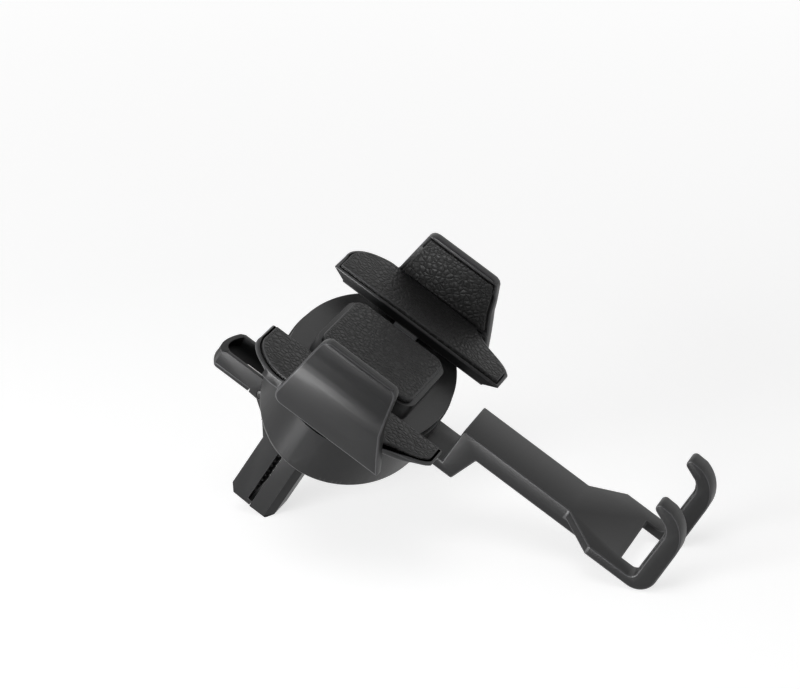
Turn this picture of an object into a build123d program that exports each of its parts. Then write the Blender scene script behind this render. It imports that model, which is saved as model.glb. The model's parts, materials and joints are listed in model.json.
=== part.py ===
import os

from build123d import *

os.makedirs("parts", exist_ok=True)

# Car phone holder for an air vent.
# Frame: origin in the middle of the jaw slot, +Y rearwards into the vent, +Z up,
# +X to the right as seen from the front.
# The cradle is drawn from the middle of the held phone's front glass, so two offsets place it.

# held phone
phone_half_width = 33.5
phone_thickness = 7.1
phone_bottom = -69.15

# general
wall = 1.8
seat_gap = 0.3
run_gap = 0.15
ball_gap = 0.05

# arms, from the phone's sides outwards
strip_thickness = 1.1
arm_wall = 2.6
lip_cover = 1.8
lip_reach = 6.2
pad_proud = 0.7
pad_deep = 1.0
pad_rim = 1.0
wing_thickness = 2.4
wing_length = 16.1
corner_round = 2.4
heel_round = 1.3
arm_high_rear = 14.8
arm_high_front = 12.2
arm_low_rear = -13.4
arm_low_front = -6.6
arm_low_bend = -9.2
arm_bend = 3.0
arm_inner = phone_half_width + strip_thickness
arm_outer = arm_inner + arm_wall + 0.7
lip_inner = phone_half_width - lip_cover
arm_front = -lip_reach
wing_front = phone_thickness + pad_proud
wing_rear = wing_front + wing_thickness
arm_rear = wing_rear + 1.7
wing_inner = arm_inner - wing_length

# rear shell and front cover
cover_thickness = 1.6
cover_inset = 0.4
shell_depth = 10.6
dome_height = 2.5
dome_reach = 1.18
post_length = 5.0
shell_mid_z = 3.5
shell_half_z = 19.0
shell_half_x = phone_half_width + 0.5
shell_front = arm_rear + seat_gap + cover_thickness
shell_edge = shell_front + shell_depth
shell_rear = shell_edge + dome_height
cover_front = shell_front - cover_thickness
boss_front = phone_thickness + pad_deep + 0.2

# wing outline limits
wing_low = shell_mid_z - shell_half_z - 5.3
wing_high = shell_mid_z + shell_half_z + 2.3

# ball joint
ball_r = 6.0
cup_wall = 0.95
socket_wall = 1.2
neck_r = 2.3
nut_lobe_r = 1.6
nut_lobes = 8
cup_edge = 0.2 * ball_r
ring_near = 0.27 * ball_r
ring_far = 0.7 * ball_r
ball_y = shell_rear + 1.1
ball_z = shell_mid_z
cup_r = ball_r + ball_gap
cup_outer = cup_r + cup_wall
socket_r = cup_outer + 2 * ball_gap
socket_outer = socket_r + socket_wall
collar_end = ball_y + 0.6
nut_r = socket_outer + 1.6
nut_front = shell_rear + 0.2
nut_rear = ball_y + ball_r - 1.0

# slides and cam plate
bar_thickness = 2.4
bar_half_z = 4.0
post_half_z = 3.0
post_width = 4.5
pin_r = 1.5
foot_up = 5.0
foot_down = 3.5
arm_ratio = 1.5
cam_thickness = 2.2
cam_margin = 2.1
arms_out = arm_ratio * foot_up
arms_in = arm_ratio * foot_down
bar_outer = wing_inner + post_width + 0.7
pin_x = bar_outer - 11.7
bar_inner = pin_x - 4.0
bar_front = shell_front + seat_gap
bar_rear = bar_front + bar_thickness
cam_front = bar_rear + seat_gap
cam_rear = cam_front + cam_thickness
slot_r = pin_r + run_gap
cam_out = (pin_x + arms_out, shell_mid_z - foot_up)
cam_in = (pin_x - arms_in, shell_mid_z + foot_down)
slot_start = wing_inner - arms_in - seat_gap
slot_end = wing_inner + post_width + arms_out + seat_gap
boss_half = slot_start
boss_half_z = bar_half_z + 9.0

# foot
stem_half = 7.0
stem_thickness = 2.2
stem_flange = 4.4
jog_height = 3.6
hook_x = 12.0
hook_width = 4.8
hook_front = -11.2
stem_front = phone_thickness + seat_gap
stem_rear = stem_front + stem_thickness
stem_jog_top = shell_mid_z - shell_half_z - foot_up - 0.9
fork_top = phone_bottom + 19.15
hook_floor = phone_bottom - 0.4
hook_bottom = phone_bottom - 4.75
hook_tip = phone_bottom + 5.05

# clip
clip_half = 5.5
plate_thickness = 3.2
jaw_length = 19.2
jaw_thickness = 5.6
jaw_bevel = 1.7
slot_height = 1.2
upper_jaw_thickness = 4.9
hinge_r = 1.0
lug_r = 2.0
lever_wall = 1.2
lever_depth = 4.8
lever_top_wall = 1.4
cap_thickness = 1.0
cap_over = 0.1
plate_half = clip_half - lever_wall - seat_gap
lug_inner = plate_half - 1.6
jaw_pad_half = clip_half - 1.2
lever_front = shell_rear + 1.6
lever_rear = lever_front + lever_depth
cap_front = lever_rear - cap_thickness
plate_front = nut_rear + 1.8
plate_rear = plate_front + plate_thickness
jaw_end = plate_rear + jaw_length
slot_low = shell_mid_z + 4.7
slot_high = slot_low + slot_height
jaw_low = slot_low - jaw_thickness
jaw_high = slot_high + upper_jaw_thickness
jaw_pad_start = plate_rear + 4.0
jaw_pad_end = jaw_end - 1.7
pin_y = lever_front + 3.7
pin_z = jaw_high + 5.7
plate_low = slot_low - 8.2
plate_top = pin_z - 3.0
lever_low = pin_z + 2.8
lever_side_top = pin_z + 12.5
lever_mid_top = lever_side_top + 1.6

# offsets that put the origin in the middle of the jaw slot
glass_y = -(plate_rear + 10.5)
middle_z = -(slot_low + slot_high) / 2


def front_plane(y):
    return Plane(origin=(0, glass_y + y, middle_z), x_dir=(1, 0, 0), z_dir=(0, -1, 0))


def side_plane(x):
    return Plane(origin=(x, glass_y, middle_z), x_dir=(0, 1, 0), z_dir=(1, 0, 0))


def top_plane(z):
    return Plane(origin=(0, glass_y, middle_z + z), x_dir=(1, 0, 0), z_dir=(0, 0, 1))


def save(piece, label):
    piece.label = label
    export_step(piece, "parts/" + label + ".step")


ball_centre = (0, glass_y + ball_y, middle_z + ball_z)


# clip body: lower jaw, upright plate, two hinge lugs and the stud bore
lug_points = [(pin_y, pin_z), (plate_rear - 2.6, plate_top - 0.8), (plate_front + 1.5, plate_top - 2.5)]
with BuildPart() as clip_body:
    with BuildSketch(side_plane(0)):
        with BuildLine():
            Polyline(
                (plate_rear - 1, slot_low), (jaw_end, slot_low), (jaw_end, jaw_low + 2.2),
                (jaw_end - 2.2, jaw_low), (plate_rear - 1, jaw_low), (plate_rear - 1, slot_low),
            )
        make_face()
    extrude(amount=clip_half, both=True)
    chamfer(clip_body.edges().group_by(Axis.Z)[0].filter_by(Axis.Y), jaw_bevel)
    with BuildSketch(side_plane(0)):
        with BuildLine():
            Polyline(
                (plate_front, plate_low), (plate_rear, plate_low), (plate_rear, plate_top),
                (plate_front, plate_top), (plate_front, plate_low),
            )
        make_face()
    extrude(amount=plate_half, both=True)
    with BuildSketch(side_plane(-plate_half)):
        with Locations(lug_points):
            Circle(lug_r)
        make_hull()
    extrude(amount=plate_half - lug_inner)
    with BuildSketch(side_plane(lug_inner)):
        with Locations(lug_points):
            Circle(lug_r)
        make_hull()
    extrude(amount=plate_half - lug_inner)
    with BuildSketch(side_plane(-clip_half)):
        with Locations((pin_y, pin_z)):
            Circle(hinge_r + ball_gap)
    extrude(amount=2 * clip_half, mode=Mode.SUBTRACT)
    with BuildSketch(front_plane(plate_front)):
        with Locations((0, ball_z)):
            Circle(neck_r + ball_gap)
    extrude(amount=-2.4, mode=Mode.SUBTRACT)
    with BuildSketch(top_plane(slot_low)):
        with Locations((0, (jaw_pad_start + jaw_pad_end) / 2)):
            Rectangle(2 * jaw_pad_half, jaw_pad_end - jaw_pad_start)
    extrude(amount=-1.2, mode=Mode.SUBTRACT)
save(clip_body.part, "clip_body")

# rubber strip in the lower jaw
with BuildPart() as lower_jaw_pad:
    with BuildSketch(top_plane(slot_low - 1.2)):
        with Locations((0, (jaw_pad_start + jaw_pad_end) / 2)):
            Rectangle(2 * jaw_pad_half - 0.2, jaw_pad_end - jaw_pad_start - 0.2)
    extrude(amount=1.3)
save(lower_jaw_pad.part, "lower_jaw_pad")

# ball with its neck
with BuildPart() as ball_stud:
    with Locations(ball_centre):
        Sphere(ball_r)
    with BuildSketch(front_plane(ball_y)):
        with Locations((0, ball_z)):
            Circle(neck_r)
    extrude(amount=-(plate_front + 2.3 - ball_y))
save(ball_stud.part, "ball_stud")

# hinge pin
with BuildPart() as hinge_pin:
    with BuildSketch(side_plane(-clip_half)):
        with Locations((pin_y, pin_z)):
            Circle(hinge_r)
    extrude(amount=2 * clip_half)
save(hinge_pin.part, "hinge_pin")

# torsion spring: coil on the pin, one leg up the channel with a cross end, one leg on the plate
spring_r = 1.75
wire_r = 0.35
coil_half = lug_inner - 0.7
with BuildPart() as clip_spring:
    with BuildLine() as coil_path:
        Helix(
            pitch=0.85, height=2 * coil_half, radius=spring_r,
            center=(-coil_half, glass_y + pin_y, middle_z + pin_z), direction=(1, 0, 0),
        )
    with BuildSketch(Plane(origin=coil_path.line @ 0, z_dir=coil_path.line % 0)):
        Circle(wire_r)
    sweep(path=coil_path.line)
    leg_z = pin_z + 6.4
    with BuildSketch(top_plane(pin_z)):
        with Locations((-coil_half + 0.2, pin_y - spring_r)):
            Circle(wire_r)
    extrude(amount=leg_z - pin_z)
    with BuildSketch(side_plane(-coil_half + 0.2)):
        with Locations((pin_y - spring_r, leg_z)):
            Circle(wire_r)
    extrude(amount=-2.3)
    with BuildSketch(top_plane(pin_z)):
        with Locations((coil_half - 0.2, pin_y + spring_r + 0.2)):
            Circle(wire_r)
    extrude(amount=-4.0)
save(clip_spring.part, "clip_spring")

# release lever: channel with an arched end, side arms past the plate and the upper jaw
def arched(plane, half, low, side_top, mid_top, depth):
    with BuildPart() as tongue:
        with BuildSketch(plane):
            with BuildLine():
                Line((-half, low), (half, low))
                Line((half, low), (half, side_top))
                ThreePointArc((half, side_top), (0, mid_top), (-half, side_top))
                Line((-half, side_top), (-half, low))
            make_face()
        extrude(amount=depth)
    return tongue.part


lever_shape = arched(
    front_plane(cap_front), clip_half, pin_z - 12, lever_side_top, lever_mid_top, 2 * lever_depth,
)
channel = arched(
    front_plane(cap_front - 1.3), clip_half - lever_wall, pin_z - 12, lever_side_top - lever_top_wall,
    lever_mid_top - lever_top_wall, 2 * lever_depth,
)
with BuildPart() as lever_upper:
    with BuildSketch(side_plane(-clip_half)):
        with BuildLine():
            Polyline(
                (lever_front, lever_low), (lever_front, lever_side_top - 1.1),
                (lever_front + 2.6, lever_mid_top + 2), (cap_front, lever_mid_top + 2),
                (cap_front, lever_low), (lever_front, lever_low),
            )
        make_face()
    extrude(amount=2 * clip_half)
    add(lever_shape, mode=Mode.INTERSECT)
    add(channel, mode=Mode.SUBTRACT)
with BuildPart() as release_lever:
    add(lever_upper.part)
    for side in (-1, 1):
        with BuildSketch(side_plane(side * clip_half)):
            with BuildLine():
                Polyline(
                    (lever_front, pin_z + 0.6), (lever_front, lever_low + 1), (cap_front, lever_low + 1),
                    (cap_front, lever_low), (lever_rear, lever_low - 0.2), (lever_rear + 0.3, pin_z - 0.6),
                    (pin_y + 2.2, pin_z - 1.6), (plate_rear + 2.5, jaw_high), (plate_rear + 2.5, slot_high),
                    (plate_rear - 0.8, slot_high), (pin_y - 1.6, pin_z - 1.6),
                    (lever_front, pin_z + 0.6),
                )
            make_face()
        extrude(amount=-side * lever_wall)
    with BuildSketch(side_plane(0)):
        with BuildLine():
            Polyline(
                (plate_rear + 0.9, slot_high), (plate_rear + 0.9, jaw_high), (jaw_end - 2.4, jaw_high),
                (jaw_end - 0.4, jaw_high - 1.4), (jaw_end - 0.2, slot_low + seat_gap),
                (jaw_end - 1.4, slot_low + seat_gap), (jaw_end - 1.4, slot_high),
                (plate_rear + 0.9, slot_high),
            )
        make_face()
    extrude(amount=clip_half, both=True)
    with BuildSketch(side_plane(-clip_half)):
        with Locations((pin_y, pin_z)):
            Circle(hinge_r + ball_gap)
    extrude(amount=2 * clip_half, mode=Mode.SUBTRACT)
    with BuildSketch(top_plane(slot_high)):
        with Locations((0, (jaw_pad_start + jaw_pad_end) / 2)):
            Rectangle(2 * jaw_pad_half, jaw_pad_end - jaw_pad_start)
    extrude(amount=1.2, mode=Mode.SUBTRACT)
save(release_lever.part, "release_lever")

# press cap over the back of the lever
lever_cap = arched(
    front_plane(lever_rear), clip_half, lever_low + 0.1, lever_side_top + cap_over, lever_mid_top + cap_over,
    cap_thickness,
)
save(lever_cap, "lever_cap")

# toothed rubber strip in the upper jaw
tooth_pitch = 1.5
with BuildPart() as upper_jaw_pad:
    with BuildSketch(top_plane(slot_high + 1.2)):
        with Locations((0, (jaw_pad_start + jaw_pad_end) / 2)):
            Rectangle(2 * jaw_pad_half - 0.2, jaw_pad_end - jaw_pad_start - 0.2)
    extrude(amount=-1.2)
    for tooth in range(8):
        with BuildSketch(side_plane(0)):
            with BuildLine():
                tooth_y = jaw_pad_start + 0.5 + tooth * tooth_pitch
                Polyline(
                    (tooth_y, slot_high + 0.1), (tooth_y + 0.5, slot_high - 0.5),
                    (tooth_y + 0.7, slot_high - 0.5), (tooth_y + 1.2, slot_high + 0.1),
                    (tooth_y, slot_high + 0.1),
                )
            make_face()
        extrude(amount=jaw_pad_half - 0.4, both=True)
save(upper_jaw_pad.part, "upper_jaw_pad")

# friction liner: cup between the ball and the shell
with BuildPart() as friction_liner:
    with Locations(ball_centre):
        Sphere(cup_outer)
        Sphere(cup_r, mode=Mode.SUBTRACT)
    with BuildSketch(front_plane(ball_y - cup_edge)):
        with Locations((0, ball_z)):
            Circle(cup_outer + 2)
    extrude(amount=cup_outer + 2, mode=Mode.INTERSECT)
save(friction_liner.part, "friction_liner")

# pressure ring behind the ball
with BuildPart() as pressure_ring:
    with Locations(ball_centre):
        Sphere(cup_outer)
        Sphere(cup_r, mode=Mode.SUBTRACT)
    with BuildSketch(front_plane(ball_y + ring_near)):
        with Locations((0, ball_z)):
            Circle(cup_outer + 2)
    extrude(amount=-(ring_far - ring_near), mode=Mode.INTERSECT)
save(pressure_ring.part, "pressure_ring")

# lock nut with finger lobes
with BuildPart() as lock_nut:
    with BuildSketch(front_plane(nut_front)):
        with Locations((0, ball_z)):
            Circle(nut_r)
            with PolarLocations(nut_r - 0.6, nut_lobes):
                Circle(nut_lobe_r)
    extrude(amount=-(nut_rear - nut_front))
    fillet(lock_nut.faces().sort_by(Axis.Y)[-1].edges(), 0.6)
    with BuildSketch(front_plane(nut_front - 1)):
        with Locations((0, ball_z)):
            Circle(socket_outer + run_gap)
    extrude(amount=-(collar_end + seat_gap - nut_front + 1), mode=Mode.SUBTRACT)
    with Locations(ball_centre):
        Sphere(socket_r, mode=Mode.SUBTRACT)
save(lock_nut.part, "lock_nut")

# rear shell: elliptical bowl with a domed back, the ball socket, screw posts and the way out for the stem
post_x = 0.78 * shell_half_x
post_z = 0.4474 * shell_half_z
post_spots = [(sx * post_x, shell_mid_z + sz * post_z) for sx in (-1, 1) for sz in (-1, 1)]


def bowl(inset, edge_y, rear_y):
    # the dome is a flattened ball wider than the bowl, so the bowl keeps its full outline up to edge_y
    share = (1 - 1 / dome_reach ** 2) ** 0.5
    dome_depth = (rear_y - edge_y) / (1 - share)
    with BuildPart() as dome:
        Sphere(1)
        scale(by=(dome_reach * (shell_half_x - inset), dome_depth, dome_reach * (shell_half_z - inset)))
    dome_y = glass_y + rear_y - dome_depth
    placed = dome.part.moved(Location((0, dome_y, middle_z + shell_mid_z)))
    with BuildPart() as body:
        with BuildSketch(front_plane(shell_front)):
            with Locations((0, shell_mid_z)):
                Ellipse(shell_half_x - inset, shell_half_z - inset)
        extrude(amount=-(rear_y + 1 - shell_front))
        with BuildSketch(front_plane(shell_front)):
            with Locations((0, shell_mid_z)):
                Ellipse(shell_half_x - inset, shell_half_z - inset)
        extrude(amount=-(edge_y - 1.5 - shell_front), mode=Mode.SUBTRACT)
        add(placed, mode=Mode.INTERSECT)
        with BuildSketch(front_plane(shell_front)):
            with Locations((0, shell_mid_z)):
                Ellipse(shell_half_x - inset, shell_half_z - inset)
        extrude(amount=-(edge_y - 1.5 - shell_front))
    return body.part


outer_bowl = bowl(0, shell_edge, shell_rear)
inner_bowl = bowl(wall, shell_edge - wall, shell_rear - wall)
with BuildPart() as rear_shell:
    add(outer_bowl)
    add(inner_bowl, mode=Mode.SUBTRACT)
    with BuildSketch(front_plane(shell_front + 1.0)):
        with Locations(post_spots):
            Circle(2.2)
    extrude(amount=-post_length)
    with Locations(ball_centre):
        Sphere(socket_outer)
    with BuildSketch(front_plane(collar_end)):
        with Locations((0, ball_z)):
            Circle(socket_outer + 1)
    extrude(amount=-socket_outer, mode=Mode.SUBTRACT)
    with BuildSketch(front_plane(ball_y - 3)):
        with Locations((0, ball_z)):
            Circle(socket_outer)
    extrude(amount=-(collar_end - ball_y + 3))
    with Locations(ball_centre):
        Sphere(socket_r, mode=Mode.SUBTRACT)
    with BuildSketch(front_plane(cam_front - seat_gap)):
        with Locations((0, shell_mid_z - shell_half_z + 1)):
            Rectangle(2 * stem_half + 2 * seat_gap, 4.5 * wall)
    extrude(amount=-(cam_thickness + 2 * seat_gap), mode=Mode.SUBTRACT)
    with BuildSketch(front_plane(shell_front)):
        with Locations(post_spots):
            Circle(0.9)
    extrude(amount=-post_length, mode=Mode.SUBTRACT)
save(rear_shell.part, "rear_shell")

# front cover with the raised boss, arm slots and slide rails
rail_start = boss_half + 1.7
rail_end = shell_half_x - 4.5
with BuildPart() as front_cover:
    with BuildSketch(front_plane(cover_front)):
        with Locations((0, shell_mid_z)):
            Ellipse(shell_half_x - cover_inset, shell_half_z - cover_inset)
    extrude(amount=-cover_thickness)
    with BuildSketch(front_plane(boss_front)):
        with Locations((0, shell_mid_z)):
            RectangleRounded(2 * boss_half - 0.4, 2 * boss_half_z, 4)
    extrude(amount=-(shell_front - boss_front))
    with BuildSketch(front_plane(boss_front + 2)):
        with Locations((0, shell_mid_z)):
            RectangleRounded(2 * boss_half - 4.4, 2 * boss_half_z - 4, 2.5)
    extrude(amount=-(shell_front - boss_front), mode=Mode.SUBTRACT)
    for side in (-1, 1):
        with BuildSketch(front_plane(cover_front - 1)):
            with Locations((side * (slot_start + slot_end) / 2, shell_mid_z)):
                Rectangle(slot_end - slot_start, 2 * post_half_z + 2 * seat_gap)
        extrude(amount=-6, mode=Mode.SUBTRACT)
        for edge in (-1, 1):
            with BuildSketch(front_plane(shell_front)):
                with Locations((side * (rail_start + rail_end) / 2, shell_mid_z + edge * (bar_half_z + 1.0))):
                    Rectangle(rail_end - rail_start, 1.4)
            extrude(amount=-bar_thickness)
    with BuildSketch(front_plane(cover_front - 1)):
        with Locations(post_spots):
            Circle(1.2)
    extrude(amount=-6, mode=Mode.SUBTRACT)
    with BuildSketch(front_plane(cover_front - 1)):
        with Locations(post_spots):
            Circle(2.2)
    extrude(amount=-1.8, mode=Mode.SUBTRACT)
save(front_cover.part, "front_cover")

# rubber pad on the boss
with BuildPart() as centre_pad:
    with BuildSketch(front_plane(phone_thickness)):
        with Locations((0, shell_mid_z)):
            RectangleRounded(2 * boss_half - 2.4, 2 * boss_half_z - 2, 3)
    extrude(amount=-(boss_front - phone_thickness))
save(centre_pad.part, "centre_pad")

# four cover screws
with BuildPart() as cover_screws:
    with BuildSketch(front_plane(cover_front + 0.1)):
        with Locations(post_spots):
            Circle(2.0)
    extrude(amount=-0.7)
    with BuildSketch(front_plane(cover_front + 0.1)):
        with Locations(post_spots):
            Circle(0.85)
    extrude(amount=-5.5)
    with BuildSketch(front_plane(cover_front + 0.1)):
        with Locations(post_spots):
            Rectangle(2.6, 0.5)
            Rectangle(0.5, 2.6)
    extrude(amount=-0.35, mode=Mode.SUBTRACT)
save(cover_screws.part, "cover_screws")


def clamp_block(grow):
    # side view of the clamping wall as a block, front edge shorter than the rear one
    with BuildPart() as block:
        with BuildSketch(side_plane(-50)) as side_view:
            with BuildLine():
                Polyline(
                    (arm_rear, arm_high_rear - grow), (arm_front, arm_high_front - grow),
                    (arm_front, arm_low_front + grow), (arm_bend, arm_low_bend + grow),
                    (arm_rear, arm_low_rear + grow), (arm_rear, arm_high_rear - grow),
                )
            make_face()
            heel = side_view.vertices().filter_by(lambda v: v.X > arm_bend + 1 and v.Y < 0)
            away_from_bend = side_view.vertices().filter_by(lambda v: abs(v.X - arm_bend) > 1)
            others = away_from_bend.filter_by(lambda v: v.X < arm_bend or v.Y > 0)
            fillet(others, corner_round - grow)
            fillet(heel, heel_round - grow)
        extrude(amount=100)
    return block.part


def make_wing(side, front, thickness, inset):
    inner = wing_inner + inset
    with BuildPart() as wing:
        with BuildSketch(front_plane(front)):
            with BuildLine():
                low = wing_low + inset
                high = wing_high - inset
                out = arm_inner - inset
                heel = arm_low_rear + 3.9 + inset
                shoulder = arm_high_rear + 2 - inset
                Line((side * inner, low), (side * (out - 9.0), low))
                Spline(
                    (side * (out - 9.0), low), (side * (out - 6.2), low + 2.5),
                    (side * (out - 4.0), low + 7.0), (side * (out - 0.2), heel),
                )
                Line((side * (out - 0.2), heel), (side * (out + 0.8), shoulder))
                Spline(
                    (side * (out + 0.8), shoulder), (side * (out - 1.2), high - 3.5),
                    (side * (out - 4.9), high - 0.6), (side * (out - 9.0), high),
                )
                Line((side * (out - 9.0), high), (side * inner, high))
                Line((side * inner, high), (side * inner, low))
            make_face()
        extrude(amount=-thickness)
    return wing.part


def make_strip(side, slack):
    # rubber strip inside the clamping wall
    limits = clamp_block(pad_rim - slack)
    with BuildPart() as strip:
        with BuildSketch(top_plane(-20)):
            with BuildLine():
                Polyline(
                    (side * (phone_half_width + 0.1 - slack), wing_front - 0.9 + slack),
                    (side * (phone_half_width + 0.1 - slack), -0.6),
                    (side * (lip_inner + 0.4 - slack), -4.4 - slack),
                    (side * (lip_inner + 1.3), -4.7 - slack),
                    (side * arm_inner, -0.8), (side * arm_inner, wing_front - 0.9 + slack),
                    (side * (phone_half_width + 0.1 - slack), wing_front - 0.9 + slack),
                )
            make_face()
        extrude(amount=40)
        add(limits, mode=Mode.INTERSECT)
    return strip.part


def make_arm(side):
    limits = clamp_block(0)
    strip_pocket = make_strip(side, 0.1)
    pad_pocket = make_wing(side, wing_front - 1, 1 + pad_deep, pad_rim - 0.1)
    wing = make_wing(side, wing_front, wing_rear - wing_front, 0)
    with BuildPart() as arm:
        with BuildSketch(top_plane(-20)):
            with BuildLine():
                Line((side * (arm_outer - 1.2), arm_rear), (side * (arm_inner - 0.6), arm_rear))
                Line((side * (arm_inner - 0.6), arm_rear), (side * (arm_inner - 0.6), wing_front))
                Line((side * (arm_inner - 0.6), wing_front), (side * arm_inner, wing_front))
                Line((side * arm_inner, wing_front), (side * arm_inner, -0.8))
                Line((side * arm_inner, -0.8), (side * lip_inner, arm_front + 0.6))
                Line((side * lip_inner, arm_front + 0.6), (side * (lip_inner + 0.5), arm_front))
                Line((side * (lip_inner + 0.5), arm_front), (side * (lip_inner + arm_wall), arm_front))
                Spline(
                    (side * (lip_inner + arm_wall), arm_front), (side * (arm_outer - 0.9), -1.5),
                    (side * arm_outer, 4.5), (side * (arm_outer - 1.2), arm_rear),
                )
            make_face()
        extrude(amount=40)
        add(limits, mode=Mode.INTERSECT)
        add(wing)
        add(strip_pocket, mode=Mode.SUBTRACT)
        add(pad_pocket, mode=Mode.SUBTRACT)
    return arm.part


def make_slide(side):
    with BuildPart() as slide:
        with BuildSketch(front_plane(bar_front)):
            with Locations((side * (bar_inner + bar_outer) / 2, shell_mid_z)):
                Rectangle(bar_outer - bar_inner, 2 * bar_half_z)
        extrude(amount=-bar_thickness)
        with BuildSketch(front_plane(wing_rear)):
            with Locations((side * (wing_inner + post_width / 2), shell_mid_z)):
                Rectangle(post_width, 2 * post_half_z)
        extrude(amount=-(bar_front - wing_rear))
        with BuildSketch(front_plane(bar_rear)):
            with Locations((side * pin_x, shell_mid_z)):
                Circle(pin_r)
        extrude(amount=-(cam_rear - bar_rear - 0.1))
    return slide.part


for side_name, side in (("left", -1), ("right", 1)):
    save(make_arm(side), side_name + "_arm")
    save(make_strip(side, 0), side_name + "_arm_pad")
    save(make_wing(side, wing_front - pad_proud, pad_proud + pad_deep, pad_rim), side_name + "_wing_pad")
    save(make_slide(side), side_name + "_slide")

# foot: cam plate, stem, fork and the two hooks
with BuildPart() as foot:
    with BuildSketch(front_plane(cam_front)):
        with Locations(cam_out, cam_in, (-cam_out[0], cam_out[1]), (-cam_in[0], cam_in[1])):
            Circle(slot_r + cam_margin)
        make_hull()
    extrude(amount=-cam_thickness)
    with BuildSketch(front_plane(cam_front)):
        with BuildLine():
            Polyline(
                (-stem_half, 0), (-stem_half, stem_jog_top - jog_height),
                (stem_half, stem_jog_top - jog_height), (stem_half, 0), (-stem_half, 0),
            )
        make_face()
    extrude(amount=-cam_thickness)
    with BuildSketch(side_plane(0)):
        with BuildLine():
            Polyline(
                (stem_front, stem_jog_top), (cam_rear, stem_jog_top), (cam_rear, stem_jog_top - jog_height),
                (stem_rear, stem_jog_top - jog_height - 3.0), (stem_rear, fork_top - 14),
                (stem_front, fork_top - 14), (stem_front, stem_jog_top),
            )
        make_face()
    extrude(amount=stem_half, both=True)
    for side in (-1, 1):
        with BuildSketch(front_plane(stem_front)):
            with Locations((side * (stem_half - 0.8), (stem_jog_top + fork_top - 8) / 2)):
                Rectangle(1.6, stem_jog_top - fork_top + 8)
        extrude(amount=-stem_flange)
    with BuildSketch(front_plane(stem_front)):
        with BuildLine():
            Polyline(
                (-stem_half, fork_top), (stem_half, fork_top), (hook_x + hook_width / 2, fork_top - 8),
                (hook_x + hook_width / 2, fork_top - 15), (-hook_x - hook_width / 2, fork_top - 15),
                (-hook_x - hook_width / 2, fork_top - 8), (-stem_half, fork_top),
            )
        make_face()
    extrude(amount=-stem_thickness)
    for side in (-1, 1):
        with BuildSketch(side_plane(side * hook_x)):
            with BuildLine():
                Line((stem_rear, fork_top - 12), (stem_rear, hook_bottom + 4.4))
                ThreePointArc(
                    (stem_rear, hook_bottom + 4.4), (stem_rear - 1.3, hook_bottom + 1.4),
                    (stem_rear - 4.4, hook_bottom),
                )
                Line((stem_rear - 4.4, hook_bottom), (hook_front + 8.0, hook_bottom + 0.1))
                ThreePointArc(
                    (hook_front + 8.0, hook_bottom + 0.1), (hook_front + 2.2, hook_bottom + 2.5),
                    (hook_front, hook_bottom + 6.2),
                )
                Line((hook_front, hook_bottom + 6.2), (hook_front - 0.1, hook_tip - 1.4))
                ThreePointArc(
                    (hook_front - 0.1, hook_tip - 1.4), (hook_front + 0.7, hook_tip - 0.1),
                    (hook_front + 2.0, hook_tip - 0.8),
                )
                Line((hook_front + 2.0, hook_tip - 0.8), (hook_front + 3.4, hook_tip - 3.8))
                ThreePointArc(
                    (hook_front + 3.4, hook_tip - 3.8), (hook_front + 4.7, hook_floor + 0.4),
                    (hook_front + 6.6, hook_floor),
                )
                Line((hook_front + 6.6, hook_floor), (stem_front - 1.6, hook_floor))
                ThreePointArc(
                    (stem_front - 1.6, hook_floor), (stem_front - 0.5, hook_floor + 0.5),
                    (stem_front, hook_floor + 1.6),
                )
                Line((stem_front, hook_floor + 1.6), (stem_front, fork_top - 12))
                Line((stem_front, fork_top - 12), (stem_rear, fork_top - 12))
            make_face()
        extrude(amount=hook_width / 2, both=True)
        with BuildSketch(front_plane(cam_front)):
            with Locations((side * cam_out[0], cam_out[1]), (side * cam_in[0], cam_in[1])):
                Circle(slot_r)
            make_hull()
        extrude(amount=-cam_thickness, mode=Mode.SUBTRACT)
        with BuildSketch(top_plane(hook_floor)):
            with Locations((side * hook_x, 1.0)):
                Rectangle(3.4, 8.4)
        extrude(amount=-0.8, mode=Mode.SUBTRACT)
save(foot.part, "foot")

for side_name, side in (("left", -1), ("right", 1)):
    with BuildPart() as hook_pad:
        with BuildSketch(top_plane(hook_floor - 0.8)):
            with Locations((side * hook_x, 1.0)):
                Rectangle(3.2, 8.2)
        extrude(amount=1.2)
    save(hook_pad.part, side_name + "_hook_pad")
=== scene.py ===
import json
import math

import bpy
from mathutils import Matrix, Vector


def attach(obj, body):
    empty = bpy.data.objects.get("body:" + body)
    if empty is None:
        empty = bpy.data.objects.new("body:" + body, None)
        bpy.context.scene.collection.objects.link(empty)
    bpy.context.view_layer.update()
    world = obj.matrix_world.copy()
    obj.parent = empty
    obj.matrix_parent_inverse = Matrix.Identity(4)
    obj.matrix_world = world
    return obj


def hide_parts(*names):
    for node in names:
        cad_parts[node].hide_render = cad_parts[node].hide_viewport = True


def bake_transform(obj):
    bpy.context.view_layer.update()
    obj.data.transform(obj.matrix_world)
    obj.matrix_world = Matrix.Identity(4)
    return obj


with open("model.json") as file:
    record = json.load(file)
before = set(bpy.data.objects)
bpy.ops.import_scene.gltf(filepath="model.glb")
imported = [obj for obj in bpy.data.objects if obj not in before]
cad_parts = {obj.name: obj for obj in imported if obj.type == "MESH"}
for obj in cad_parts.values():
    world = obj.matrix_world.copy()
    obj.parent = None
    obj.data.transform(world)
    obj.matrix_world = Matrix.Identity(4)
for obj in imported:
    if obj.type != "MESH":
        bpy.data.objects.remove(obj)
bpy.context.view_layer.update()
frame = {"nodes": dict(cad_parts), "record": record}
nodes = frame["nodes"]


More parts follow.
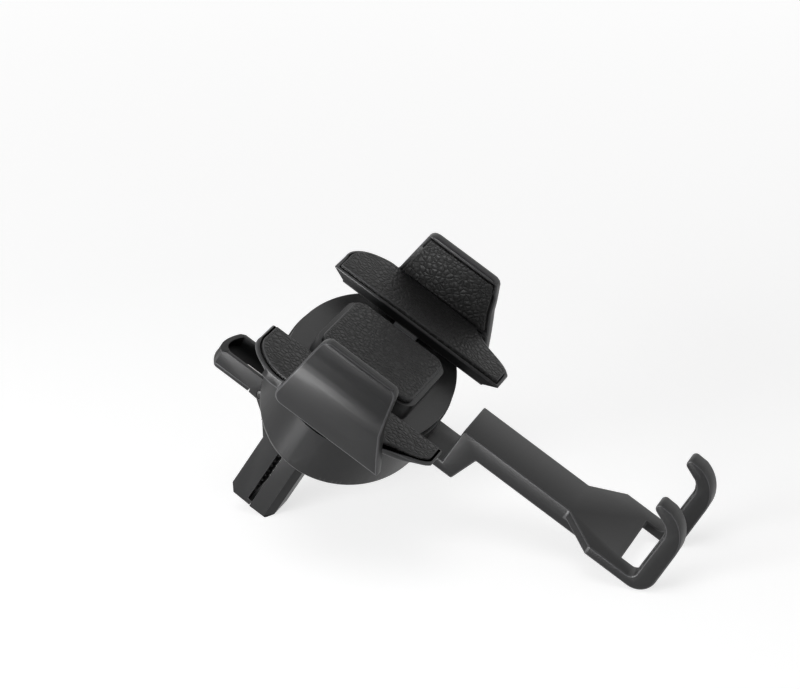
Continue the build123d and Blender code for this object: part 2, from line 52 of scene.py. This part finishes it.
def photo_camera():
    right = Vector((0.342422, -0.494771, -0.798717))
    up = Vector((0.359766, -0.716269, 0.597935))
    back = Vector((-0.867937, -0.492098, -0.067264))
    stand = (-0.68251, -0.43182, -0.06040)
    data = bpy.data.cameras.new("photo_camera")
    data.sensor_width = 36
    data.lens = 162
    data.clip_start = 0.05
    data.clip_end = 20
    camera = bpy.data.objects.new("photo_camera", data)
    turn = Matrix((right, up, back)).transposed().to_4x4()
    camera.matrix_world = Matrix.Translation(stand) @ turn
    bpy.context.scene.collection.objects.link(camera)
    bpy.context.scene.camera = camera


photo_camera()


class Socket:
    """A node socket that takes part in sums, so that a pattern is written as one line."""

    tree = None

    def __init__(self, socket):
        self.socket = socket

    @classmethod
    def node(cls, kind, settings=None, **inputs):
        made = cls.tree.nodes.new(kind)
        for name, value in (settings or {}).items():
            setattr(made, name, value)
        for name, value in inputs.items():
            numbered = name[0] == "i" and name[1:].isdigit()
            key = int(name[1:]) if numbered else name.replace("_", " ")
            target = made.inputs[key]
            if isinstance(value, Socket):
                cls.tree.links.new(value.socket, target)
            else:
                target.default_value = value
        return made

    @classmethod
    def out(cls, kind, output, settings=None, **inputs):
        return cls(cls.node(kind, settings, **inputs).outputs[output])

    @staticmethod
    def work_out(operation, first, second):
        return Socket.out("ShaderNodeMath", 0, {"operation": operation}, i0=first, i1=second)

    def __add__(self, other):
        return Socket.work_out("ADD", self, other)

    def __radd__(self, other):
        return Socket.work_out("ADD", self, other)

    def __mul__(self, other):
        return Socket.work_out("MULTIPLY", self, other)

    def __rmul__(self, other):
        return Socket.work_out("MULTIPLY", self, other)

    def __sub__(self, other):
        return Socket.work_out("SUBTRACT", self, other)

    def __rsub__(self, other):
        return Socket.work_out("SUBTRACT", other, self)

    def power(self, other):
        return Socket.work_out("POWER", self, other)

    def or_more(self, other):
        return Socket.work_out("MAXIMUM", self, other)


def place():
    return Socket.out("ShaderNodeTexCoord", "Object")


def noise(scale, detail=2.0, rough=0.5):
    return Socket.out(
        "ShaderNodeTexNoise", "Fac", None,
        Vector=place(), Scale=scale, Detail=detail, Roughness=rough,
    )


def mix(mask, first, second):
    return Socket.out("ShaderNodeMix", 2, {"data_type": "RGBA"}, Factor=mask, i6=first, i7=second)


def bumps(height, strength, depth):
    return Socket.out(
        "ShaderNodeBump", 0, None, Strength=strength, Distance=depth, Height=height
    )


def new_finish(name, **shader_values):
    material = bpy.data.materials.new(name)
    material.use_nodes = True
    Socket.tree = material.node_tree
    shader = next(n for n in material.node_tree.nodes if n.type == "BSDF_PRINCIPLED")
    for key, value in shader_values.items():
        shader.inputs[key.replace("_", " ")].default_value = value
    return material, shader


def feed(shader, **links):
    for key, value in links.items():
        Socket.tree.links.new(value.socket, shader.inputs[key.replace("_", " ")])


def grey(level, tint=0.0):
    return (level, level, level * (1 + tint), 1.0)


def moulded_plastic(name, level, rough, grain=0.25):
    """Spark-eroded black plastic: slow patches, light scuffs and a very fine grain."""
    cool_tint = 0.03
    material, shader = new_finish(name, IOR=1.46, Specular_IOR_Level=0.3)
    patches = noise(60.0, 3.0)
    fine = noise(5200.0, 2.0, 0.6)
    scuffs = noise(900.0, 4.0, 0.7)
    wear = patches * 0.6 + scuffs * 0.4
    feed(
        shader,
        Base_Color=mix(wear, grey(level * 0.85, cool_tint), grey(level * 1.15, cool_tint)),
        Roughness=rough - 0.08 + patches * 0.08 + fine * 0.06,
        Normal=bumps(fine, grain, 0.00006),
    )
    return material


def grained_rubber(name, level):
    """Soft pads with a leather-like grain of cells about a millimetre wide."""
    cells_per_metre = 850.0
    material, shader = new_finish(name, IOR=1.5, Specular_IOR_Level=0.3)
    cells = Socket.out(
        "ShaderNodeTexVoronoi", "Distance", {"feature": "DISTANCE_TO_EDGE"},
        Vector=place(), Scale=cells_per_metre,
    )
    creases = noise(cells_per_metre * 0.9, 3.0)
    height = cells.power(0.5) * 0.8 + creases * 0.4
    feed(
        shader,
        # The colour follows the grain's height: painted shade in the creases between cells and a
        # painted highlight on the cell tops.
        Base_Color=mix(height, grey(level * 0.45), grey(level * 1.9)),
        Roughness=0.6 - height * 0.18,
        Normal=bumps(height, 1.0, 0.0004),
    )
    return material


def plated_steel(name, dull, bright):
    material, shader = new_finish(name, Metallic=1.0)
    streaks = noise(1500.0, 3.0)
    feed(
        shader,
        Base_Color=mix(streaks, grey(dull), grey(bright)),
        Roughness=0.25 + streaks * 0.15,
    )
    return material


charcoal = moulded_plastic("charcoal_plastic", 0.014, 0.37)
# Lighter plastic for the rounded edges: a painted highlight where the edges catch the light.
painted_edge_highlight = moulded_plastic("painted_edge_highlight", 0.050, 0.34, 0.1)
# Near-black plastic for the inside of the lever's channel: painted shade where the channel lies
# in shadow.
channel_painted_shade = moulded_plastic("unlit_channel", 0.006, 0.6, 0.1)
inner_grey = moulded_plastic("inner_grey_plastic", 0.20, 0.55)
grip_rubber = grained_rubber("grip_rubber", 0.020)
# Lighter rubber for the pads' rounded rims: a painted highlight where the rims catch the light.
painted_rim_highlight = moulded_plastic("rubber_rim_painted_highlight", 0.038, 0.5, 0.2)
steel = plated_steel("plated_steel", 0.55, 0.7)
black_steel = plated_steel("blackened_steel", 0.04, 0.07)

slot_finish = {
    "shell_plastic": charcoal,
    "inner_plastic": inner_grey,
    "rubber": grip_rubber,
    "steel": steel,
}
record = frame["record"]
node_slot = {part["node"]: part["material_slot"] for part in record["subparts"]}
body_of = {
    name: body for body, names in record["behaviour"]["bodies"].items() for name in names
}
for name, thing in nodes.items():
    thing.data.materials.clear()
    thing.data.materials.append(slot_finish[node_slot[name]])
bpy.ops.object.select_all(action="DESELECT")

smooth_below = math.radians(30)


def mode(name):
    bpy.ops.object.mode_set(mode=name)


def smooth(angle=smooth_below):
    bpy.ops.object.shade_smooth_by_angle(angle=angle)


def paint(piece, *finishes):
    piece.data.materials.clear()
    for finish in finishes:
        piece.data.materials.append(finish)


def settle(piece, node, *finishes):
    paint(piece, *finishes)
    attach(piece, body_of[node])
    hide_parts(node)


def merged_copy(node, name, flatness=1.0):
    """The CAD solid as one welded mesh with flat faces, ready to be worked on."""
    piece = bpy.data.objects.new(name, nodes[node].data.copy())
    bpy.context.scene.collection.objects.link(piece)
    bpy.context.view_layer.objects.active = piece
    piece.select_set(True)
    mode("EDIT")
    bpy.ops.mesh.select_all(action="SELECT")
    bpy.ops.mesh.remove_doubles(threshold=0.000004)
    bpy.ops.mesh.dissolve_limited(angle_limit=math.radians(flatness))
    mode("OBJECT")
    return piece


def pick(piece, kind, test):
    """Select the vertices, edges or faces whose place passes the test."""
    mode("EDIT")
    bpy.ops.mesh.select_mode(type=kind)
    bpy.ops.mesh.select_all(action="DESELECT")
    mode("OBJECT")
    mesh = piece.data
    if kind == "VERT":
        for point in mesh.vertices:
            point.select = test(point.co)
    elif kind == "EDGE":
        for edge in mesh.edges:
            edge.select = all(test(mesh.vertices[i].co) for i in edge.vertices)
    else:
        for face in mesh.polygons:
            face.select = test(face.normal)


def nudge(piece, shift, test):
    pick(piece, "VERT", test)
    mode("EDIT")
    bpy.ops.transform.translate(value=shift)
    mode("OBJECT")


def round_edges(piece, radius, clamp=True):
    """Small moulded radii on every sharp edge, in the piece's second finish, which on most pieces
    is a painted edge highlight.
    """
    rounding = piece.modifiers.new("rounding", "BEVEL")
    rounding.width = radius
    rounding.segments = 3
    rounding.limit_method = "ANGLE"
    rounding.angle_limit = math.radians(32)
    rounding.use_clamp_overlap = clamp
    # The bevel faces get the second finish, on most pieces a lighter painted highlight along the
    # edges.
    rounding.material = 1
    bpy.ops.object.modifier_apply(modifier="rounding")
    smooth()
    piece.select_set(False)


def rounded_copy(node, name, radius, finish, edge=None):
    """The CAD solid with the moulding's small edge radii, which it leaves out."""
    piece = merged_copy(node, name)
    settle(piece, node, finish, edge or finish)
    round_edges(piece, radius)


def thin_wing_edge(piece):
    """Slope the back of the wing in towards its middle, so that its edge is a thin one."""
    wing_middle, narrower = -0.0068, 0.86
    back_from, back_to, arm_foot = -0.0389, -0.0382, 0.0345
    post_side, post_low, post_high = 0.0237, -0.0091, -0.0015

    def at_wing_back(p):
        at_post = abs(p.x) < post_side and post_low < p.z < post_high
        return back_from < p.y < back_to and abs(p.x) < arm_foot and not at_post

    pick(piece, "VERT", at_wing_back)
    mode("EDIT")
    bpy.ops.transform.resize(
        value=(1, 1, narrower),
        center_override=(0, 0, wing_middle),
        constraint_axis=(False, False, True),
    )
    mode("OBJECT")


def crown_outer_face(piece, way):
    """Turn the arm's outer face in towards the phone's front, more and more."""
    start, end, depth, strips = -0.0450, -0.0547, 0.0026, 7
    inner, outer = 0.0346, 0.0379
    mode("EDIT")
    for strip in range(strips):
        bpy.ops.mesh.select_all(action="SELECT")
        at = (0, start + (end - start) * strip / strips, 0)
        bpy.ops.mesh.bisect(plane_co=at, plane_no=(0, 1, 0))
    mode("OBJECT")
    for point in piece.data.vertices:
        if abs(point.co.x) > inner and point.co.y < start:
            turn = (start - point.co.y) / (start - end)
            share = (abs(point.co.x) - inner) / (outer - inner)
            point.co.x -= way * depth * share * turn ** 2


def clamp_arm(side_name, way):
    """The edges are rounded before the cuts, which would otherwise leave them no room."""
    piece = merged_copy(side_name + "_arm", side_name + "_arm_moulding", flatness=4.0)
    settle(piece, side_name + "_arm", charcoal, painted_edge_highlight)
    round_edges(piece, 0.00045, clamp=False)
    piece.select_set(True)
    bpy.context.view_layer.objects.active = piece
    thin_wing_edge(piece)
    crown_outer_face(piece, way)
    smooth()
    piece.select_set(False)


def drum_template():
    """A bowl with a well rounded rear edge, which the rear shell is trimmed to."""
    half_x, half_z, middle_z = 0.0350, 0.0197, -0.00595
    rim_y, radius, top_y = -0.0241, 0.003, -0.0197
    dome_height, dome_depth, dome_reach = 0.0025, 0.00533, 1.18
    rim_lift = 0.00005
    wall_front, wall_rear = -0.0352, rim_y - radius
    bpy.ops.mesh.primitive_cylinder_add(
        vertices=180, radius=1, depth=1,
        location=(0, (wall_front + wall_rear) / 2, middle_z),
        rotation=(math.radians(90), 0, 0),
        scale=(half_x, half_z, wall_rear - wall_front),
    )
    template = bpy.context.object
    bpy.ops.object.transform_apply(location=True, rotation=True, scale=True)
    pick(template, "FACE", lambda normal: normal.y > 0.99)

    def rear_surface(inwards):
        reach = (half_z - inwards) / half_z / dome_reach
        rise = dome_height - dome_depth * (1 - math.sqrt(1 - reach ** 2))
        drop = -rim_lift
        if inwards < radius:
            drop = radius - math.sqrt(radius ** 2 - (radius - inwards) ** 2)
        return rim_y + rise - drop

    mode("EDIT")
    steps = [
        0.0, 0.00008, 0.00025, 0.0005, 0.0008, 0.0012,
        0.0017, 0.0023, 0.003, 0.0045, 0.0065, 0.009,
    ]
    for before, after in zip(steps, steps[1:]):
        bpy.ops.mesh.inset(thickness=after - before, depth=0)
        rise = rear_surface(after) - rear_surface(before)
        bpy.ops.transform.translate(value=(0, rise, 0))
    bpy.ops.mesh.inset(thickness=0.0001, depth=0)
    bpy.ops.transform.translate(value=(0, top_y - rear_surface(steps[-1]), 0))
    mode("OBJECT")
    template.select_set(False)
    return template


def rounded_drum():
    template = drum_template()
    piece = merged_copy("rear_shell", "drum_moulding", flatness=0.5)
    settle(piece, "rear_shell", charcoal, painted_edge_highlight)
    trim = piece.modifiers.new("trim", "BOOLEAN")
    trim.operation = "INTERSECT"
    trim.solver = "EXACT"
    trim.object = template
    bpy.ops.object.modifier_apply(modifier="trim")
    smooth(math.radians(32))
    even = piece.modifiers.new("even_shading", "WEIGHTED_NORMAL")
    even.keep_sharp = True
    bpy.ops.object.modifier_apply(modifier="even_shading")
    piece.select_set(False)
    bpy.data.objects.remove(template)


def lever_moulding():
    """The lever's back wall reaches lower, and its jaw lip nearly closes the slot."""
    channel_half, channel_low = 0.00435, 0.0132
    channel_front, channel_back = -0.0199, -0.0161
    wall_drop, wall_front = 0.0002, -0.0168
    lip_drop, lip_y = 0.0002, 0.0070
    piece = merged_copy("release_lever", "lever_moulding")
    settle(piece, "release_lever", charcoal, painted_edge_highlight, channel_painted_shade)
    nudge(
        piece, (0, 0, -wall_drop),
        lambda p: abs(p.x) < channel_half and p.y > wall_front and 0.0138 < p.z < 0.0142,
    )
    nudge(piece, (0, 0, -lip_drop), lambda p: p.y > lip_y and -0.0004 < p.z < -0.0002)
    round_edges(piece, 0.00022)
    # Faces between the channel walls take the third finish: painted shade inside the channel.
    for face in piece.data.polygons:
        at = face.center
        between_walls = abs(at.x) < channel_half + 0.00001
        if between_walls and channel_front < at.y < channel_back and at.z > channel_low:
            face.material_index = 2


def clip_moulding():
    """The lower jaw's end is blunter than the solid's long chamfer."""
    blunter = 0.0011
    piece = merged_copy("clip_body", "clip_moulding")
    settle(piece, "clip_body", charcoal, painted_edge_highlight)
    nudge(piece, (0, 0, -blunter), lambda p: p.y > 0.0085 and -0.0046 < p.z < -0.0034)
    nudge(piece, (0, blunter, 0), lambda p: 0.0058 < p.y < 0.0072 and p.z < -0.0040)
    round_edges(piece, 0.0004)


def hook_lining(side_name, middle_x):
    """Rubber strip along the inside of a hook, from its floor up to the tip."""
    path = [
        (-0.0430, -0.07795), (-0.0527, -0.07795), (-0.0542, -0.0778), (-0.0553, -0.0773),
        (-0.0561, -0.0766), (-0.0568, -0.0755), (-0.0576, -0.0738),
    ]
    width, thickness = 0.0032, 0.0007
    (start_y, floor_z), (bend_y, _) = path[:2]
    bpy.ops.mesh.primitive_plane_add(
        size=1, location=(middle_x, (start_y + bend_y) / 2, floor_z)
    )
    piece = bpy.context.object
    piece.name = side_name + "_hook_lining"
    bpy.ops.transform.resize(value=(width, start_y - bend_y, 1))
    bpy.ops.object.transform_apply(location=True, rotation=True, scale=True)
    pick(piece, "EDGE", lambda p: p.y < bend_y + 1e-5)
    mode("EDIT")
    for here, onward in zip(path[1:], path[2:]):
        step = (0, onward[0] - here[0], onward[1] - here[1])
        bpy.ops.mesh.extrude_edges_move(TRANSFORM_OT_translate={"value": step})
    mode("OBJECT")
    wall = piece.modifiers.new("wall", "SOLIDIFY")
    wall.thickness = thickness
    wall.offset = -1
    bpy.ops.object.modifier_apply(modifier="wall")
    mode("EDIT")
    bpy.ops.mesh.select_all(action="SELECT")
    bpy.ops.mesh.normals_make_consistent(inside=False)
    mode("OBJECT")
    settle(piece, side_name + "_hook_pad", grip_rubber, painted_rim_highlight)
    round_edges(piece, 0.0002)


def lever_cap_moulding():
    """The cap's arched rear edge is rounder than its other edges."""
    piece = merged_copy("lever_cap", "lever_press_cap")
    settle(piece, "lever_cap", charcoal, painted_edge_highlight)
    pick(piece, "EDGE", lambda p: p.y > -0.01525 and p.z > 0.0235)
    mode("EDIT")
    bpy.ops.mesh.bevel(offset=0.0008, segments=5, affect="EDGES")
    mode("OBJECT")
    round_edges(piece, 0.0002)


def spring_winding():
    """The spring as one welded steel mesh whose coil stays on its pin; it is not attached to the
    lever.
    """
    piece = merged_copy("clip_spring", "spring_winding")
    paint(piece, steel)
    smooth(math.radians(40))
    piece.select_set(False)
    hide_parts("clip_spring")
    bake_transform(piece)


hook_middle = 0.012
for side, way in (("left", -1), ("right", 1)):
    clamp_arm(side, way)
    rounded_copy(side + "_arm_pad", side + "_arm_strip", 0.00025, grip_rubber)
    rounded_copy(side + "_wing_pad", side + "_wing_face", 0.0005, grip_rubber, painted_rim_highlight)
    hook_lining(side, way * hook_middle)
rounded_drum()
lever_moulding()
lever_cap_moulding()
spring_winding()
rounded_copy("foot", "foot_moulding", 0.0006, charcoal, painted_edge_highlight)
clip_moulding()
rounded_copy("hinge_pin", "hinge_pin_turned", 0.0002, black_steel)
rounded_copy("lock_nut", "lock_nut_moulding", 0.0003, charcoal, painted_edge_highlight)
rounded_copy("front_cover", "cover_moulding", 0.0003, charcoal, painted_edge_highlight)
rounded_copy("centre_pad", "centre_grip", 0.0004, grip_rubber, painted_rim_highlight)
rounded_copy("upper_jaw_pad", "upper_jaw_teeth", 0.0001, grip_rubber)
rounded_copy("lower_jaw_pad", "lower_jaw_grip", 0.0001, grip_rubber)

# The holder lies on its jaw tip and hooks, so the floor is tilted in the part's own frame.
floor_up = Vector((0.0, -0.8460, 0.5340)).normalized()
floor_touch = Vector((0.0, 0.0087, -0.0049))
middle = Vector((0.0, -0.03, -0.03))


def aim(thing, at, forward):
    thing.rotation_mode = "QUATERNION"
    thing.rotation_quaternion = at.to_track_quat(forward, "Y")


def tilted_floor():
    """A white floor that looks evenly white far off, and is clear from below."""
    glow, white_near, white_far = 0.5, 0.22, 0.5
    bpy.ops.mesh.primitive_plane_add(size=6, location=floor_touch)
    floor = bpy.context.object
    floor.name = "studio_floor"
    aim(floor, floor_up, "Z")
    material, shader = new_finish("floor_white", Roughness=0.7)
    shader.inputs["Base Color"].default_value = grey(0.5)
    shader.inputs["Specular IOR Level"].default_value = 0.0
    shader.inputs["Emission Color"].default_value = grey(1)
    seen = Socket.out("ShaderNodeLightPath", "Is Camera Ray")
    away = Socket.out("ShaderNodeVectorMath", "Value", {"operation": "LENGTH"}, i0=place())
    backdrop = Socket.out(
        "ShaderNodeMapRange", "Result", None,
        Value=away, From_Min=0.15, From_Max=0.9, To_Min=white_near, To_Max=white_far,
    )
    feed(shader, Emission_Strength=glow + seen * backdrop)
    tree = material.node_tree
    output = next(n for n in tree.nodes if n.type == "OUTPUT_MATERIAL")
    from_below = Socket.out("ShaderNodeNewGeometry", "Backfacing")
    sided = Socket.node(
        "ShaderNodeMixShader", None,
        i0=from_below, i1=Socket(shader.outputs[0]),
        i2=Socket.out("ShaderNodeBsdfTransparent", 0),
    )
    tree.links.new(sided.outputs[0], output.inputs[0])
    floor.data.materials.append(material)


def softbox(name, offset, size, watts):
    data = bpy.data.lights.new(name, "AREA")
    data.shape = "DISK"
    data.size = size
    data.energy = watts
    thing = bpy.data.objects.new(name, data)
    thing.location = middle + offset
    aim(thing, -offset, "-Z")
    bpy.context.scene.collection.objects.link(thing)


def dark_flag(offset, size):
    """A black card over the front, which only the gloss of the plastic sees."""
    bpy.ops.mesh.primitive_plane_add(size=size, location=middle + offset)
    flag = bpy.context.object
    flag.name = "dark_flag"
    aim(flag, -offset, "Z")
    flag.visible_camera = False
    flag.visible_diffuse = False
    flag.visible_shadow = False
    material, shader = new_finish("flag_black", Roughness=1.0)
    shader.inputs["Base Color"].default_value = grey(0.01)
    shader.inputs["Specular IOR Level"].default_value = 0.0
    flag.data.materials.append(material)


def soft_world(level):
    """White where it is seen, straight or in gloss, and a weak light otherwise."""
    world = bpy.data.worlds.new("studio")
    bpy.context.scene.world = world
    world.use_nodes = True
    Socket.tree = world.node_tree
    world.node_tree.nodes.clear()
    path = Socket.node("ShaderNodeLightPath").outputs
    seen = Socket(path["Is Camera Ray"]).or_more(Socket(path["Is Glossy Ray"]))
    seen = seen.or_more(Socket(path["Is Transmission Ray"]))
    strength = seen * (1 - level) + level
    glow = Socket.node("ShaderNodeBackground", None, Color=grey(1), Strength=strength)
    end = Socket.node("ShaderNodeOutputWorld")
    world.node_tree.links.new(glow.outputs[0], end.inputs[0])


bpy.ops.object.select_all(action="DESELECT")
tilted_floor()
softbox("side_softbox", Vector((-0.87, 0.24, 0.34)) * 0.45, 0.35, 5.2)
softbox("overhead_softbox", floor_up * 0.9 - Vector((0.35, 0.0, 0.0)), 0.6, 2)
dark_flag(Vector((-0.55, -0.9, 0.25)) * 0.5, 1.3)
soft_world(0.18)
bpy.context.scene.view_settings.view_transform = "Standard"
